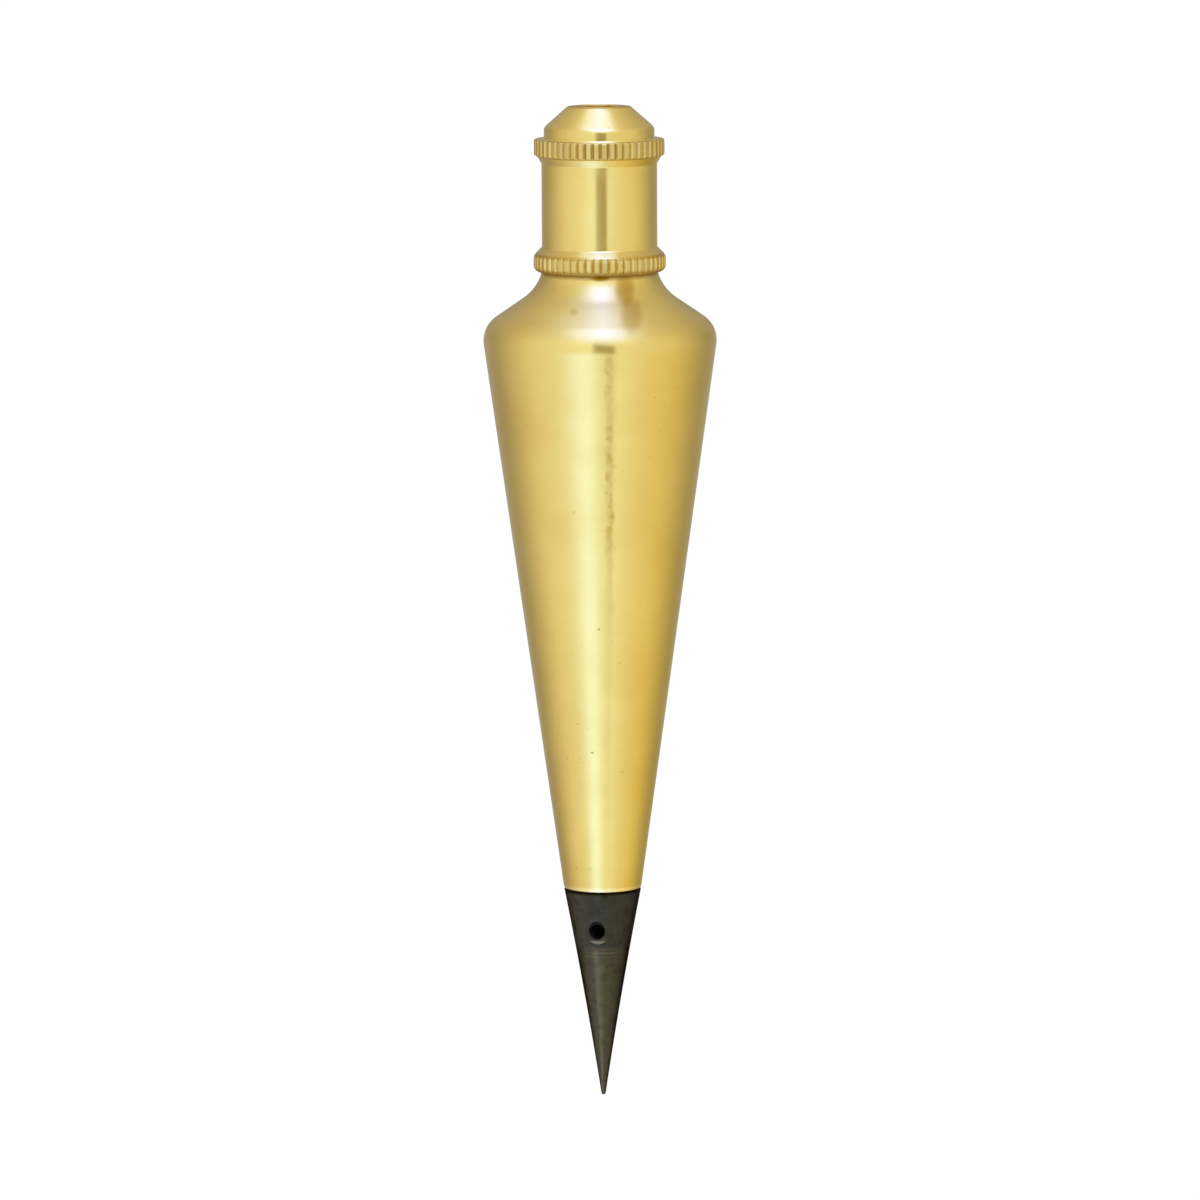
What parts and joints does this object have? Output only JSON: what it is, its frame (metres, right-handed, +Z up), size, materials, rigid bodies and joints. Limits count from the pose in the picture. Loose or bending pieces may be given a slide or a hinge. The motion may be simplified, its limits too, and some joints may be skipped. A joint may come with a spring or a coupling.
{
  "type": "plumb bob",
  "caption": "Turned brass plumb bob with a long tapered body, a knurled screw cap drilled for the line and a screw-in blackened steel tip, hung to give a true vertical",
  "frame": {"origin": "the middle of the line hole in the top of the cap, where the bob hangs", "axes": "+Z up along the axis of the bob, with the point straight down; +Y along the cross hole in the tip"},
  "size_m": [0.036, 0.036, 0.1545],
  "materials": {
    "brass": "turned and polished, with fine lathe lines",
    "black_steel": "hardened, blackened and oiled"
  },
  "bodies": {
    "body": {"body": "brass"},
    "cap": {"cap": "brass"},
    "tip": {"tip": "black_steel"}
  },
  "joints": [
    {"name": "cap_unscrew", "type": "slide", "parent": "body", "child": "cap", "axis": [0, 0, 1], "range_m": [0, 0.03]},
    {"name": "tip_unscrew", "type": "slide", "parent": "body", "child": "tip", "axis": [0, 0, -1], "range_m": [0, 0.025]}
  ]
}
